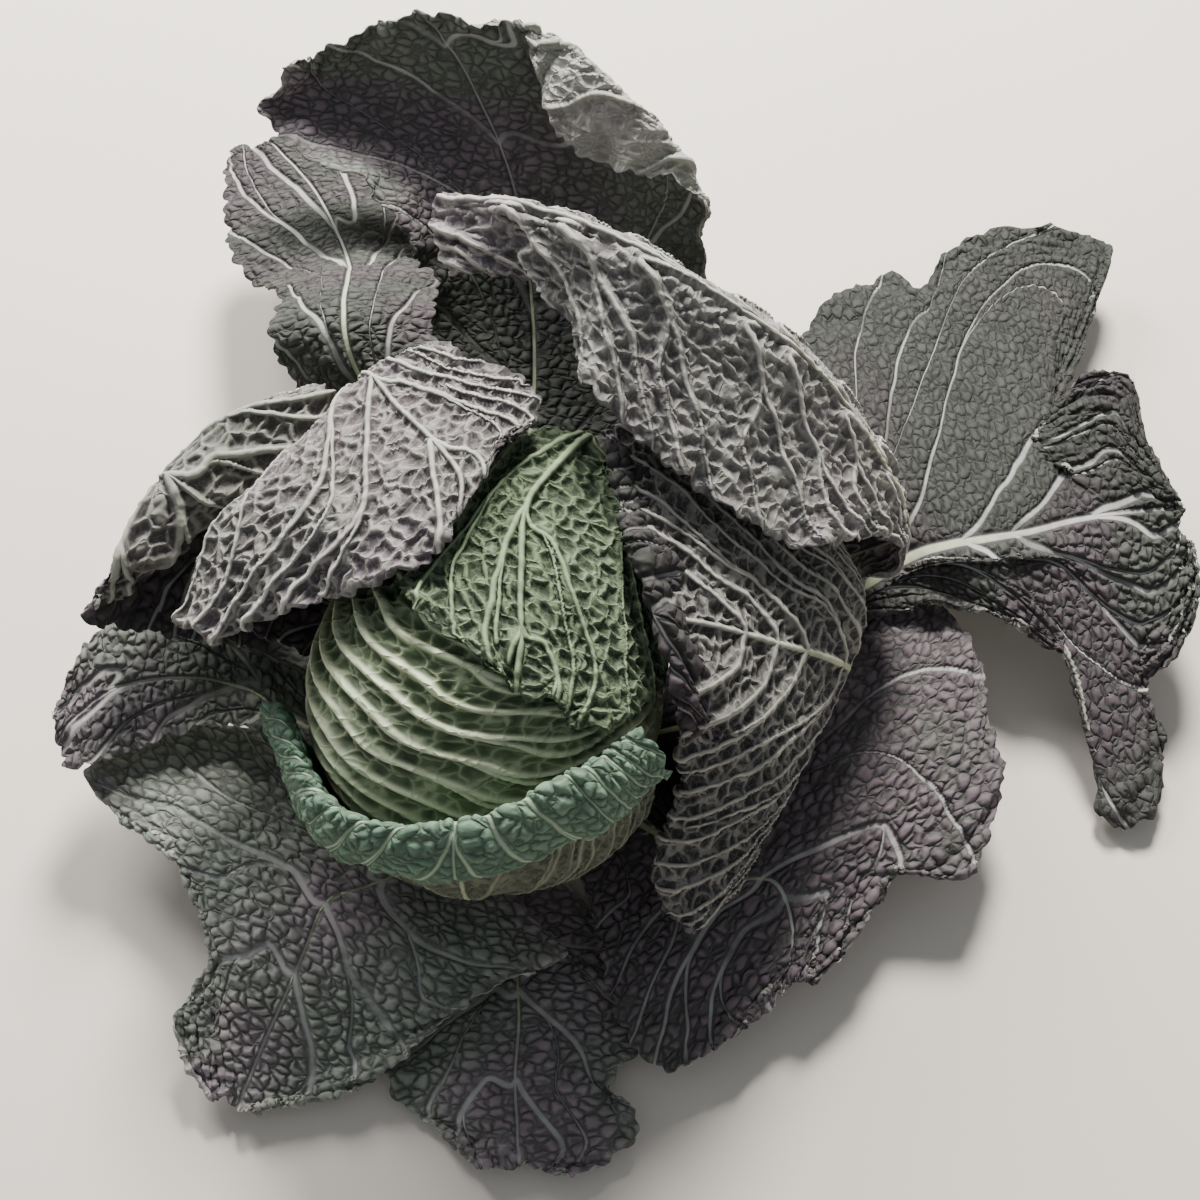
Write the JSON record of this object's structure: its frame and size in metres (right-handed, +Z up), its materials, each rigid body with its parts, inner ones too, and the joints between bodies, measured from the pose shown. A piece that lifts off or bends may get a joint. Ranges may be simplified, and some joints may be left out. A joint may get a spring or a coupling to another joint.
{
  "type": "savoy cabbage",
  "caption": "Savoy cabbage with a round pale head, crinkled blistered leaves spread open around it and a cut stump that it stands on.",
  "frame": {"origin": "centre of the stump's flat cut face, on which the cabbage stands", "axes": "+Z up from the cut face through the head, +X to the right and +Y to the back as the picture shows it"},
  "size_m": [0.454, 0.4555, 0.2032],
  "materials": {
    "outer_leaf": "matt, dull purple-grey to grey-green upper face, blistered, paler veins",
    "hood_leaf": "matt grey-green underside with a raised net of pale veins",
    "collar_leaf": "matt blue-green, blistered",
    "pale_leaf": "satin pale green underside with raised veins",
    "head": "satin pale yellow-green with thick whitish ribs",
    "stump": "cut pale stalk, slightly rough"
  },
  "bodies": {
    "root": {"stump": "stump", "head": "head", "leaf_far_right": "outer_leaf", "leaf_lower_right": "outer_leaf", "leaf_front": "outer_leaf", "leaf_front_left": "outer_leaf", "leaf_left": "outer_leaf", "leaf_left_folded": "outer_leaf", "leaf_back_left": "outer_leaf", "leaf_back": "outer_leaf", "leaf_hood": "hood_leaf", "leaf_inner_right": "hood_leaf", "leaf_left_wrapper": "hood_leaf", "leaf_collar": "collar_leaf", "leaf_top": "pale_leaf"}
  },
  "joints": []
}
